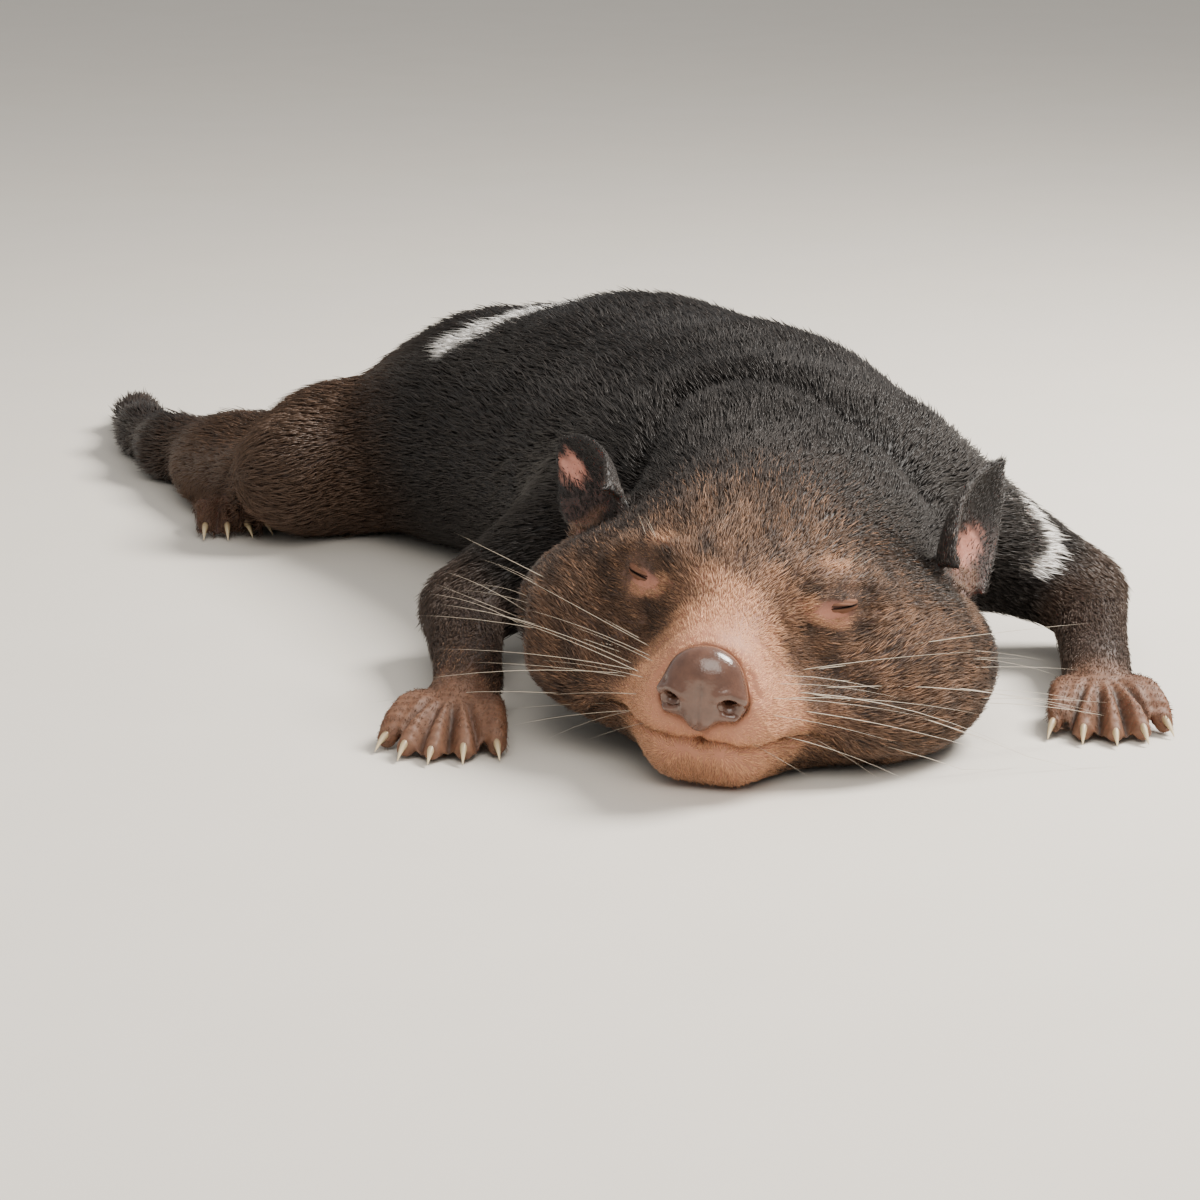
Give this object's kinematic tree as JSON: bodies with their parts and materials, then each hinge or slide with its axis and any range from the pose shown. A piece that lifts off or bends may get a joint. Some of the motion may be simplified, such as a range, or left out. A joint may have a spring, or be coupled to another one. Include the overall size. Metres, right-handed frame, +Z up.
{
  "type": "tasmanian devil",
  "caption": "Tasmanian devil asleep flat on its belly, chin and spread forepaws on the ground, eyes and mouth closed, tail laid out behind, as a life-size still figure.",
  "frame": {"origin": "middle of the bounding box at floor level", "axes": "+Z up from the floor; the animal faces -Y and its left side is toward +X"},
  "size_m": [0.4134, 0.6234, 0.1127],
  "materials": {
    "coat": "short dense dark fur",
    "paw": "thin fur over brown skin",
    "claw": "pale horn",
    "nose": "moist dark skin",
    "lid": "bare pale skin",
    "ear": "thin pink skin"
  },
  "bodies": {
    "root": {"abdomen": "coat", "chest": "coat", "head": "coat", "left_ear": "ear", "left_fore_claw_1": "claw", "left_fore_claw_2": "claw", "left_fore_claw_3": "claw", "left_fore_claw_4": "claw", "left_fore_claw_5": "claw", "left_forearm": "coat", "left_forepaw": "paw", "left_hind_claw_1": "claw", "left_hind_claw_2": "claw", "left_hind_claw_3": "claw", "left_hind_claw_4": "claw", "left_hind_foot": "paw", "left_lower_eyelid": "lid", "left_shank": "coat", "left_thigh": "coat", "left_upper_arm": "coat", "left_upper_eyelid": "lid", "lower_jaw": "coat", "neck": "coat", "nose_pad": "nose", "right_ear": "ear", "right_fore_claw_1": "claw", "right_fore_claw_2": "claw", "right_fore_claw_3": "claw", "right_fore_claw_4": "claw", "right_fore_claw_5": "claw", "right_forearm": "coat", "right_forepaw": "paw", "right_hind_claw_1": "claw", "right_hind_claw_2": "claw", "right_hind_claw_3": "claw", "right_hind_claw_4": "claw", "right_hind_foot": "paw", "right_lower_eyelid": "lid", "right_shank": "coat", "right_thigh": "coat", "right_upper_arm": "coat", "right_upper_eyelid": "lid", "rump": "coat", "tail_base": "coat", "tail_middle": "coat", "tail_tip": "coat"}
  },
  "joints": []
}
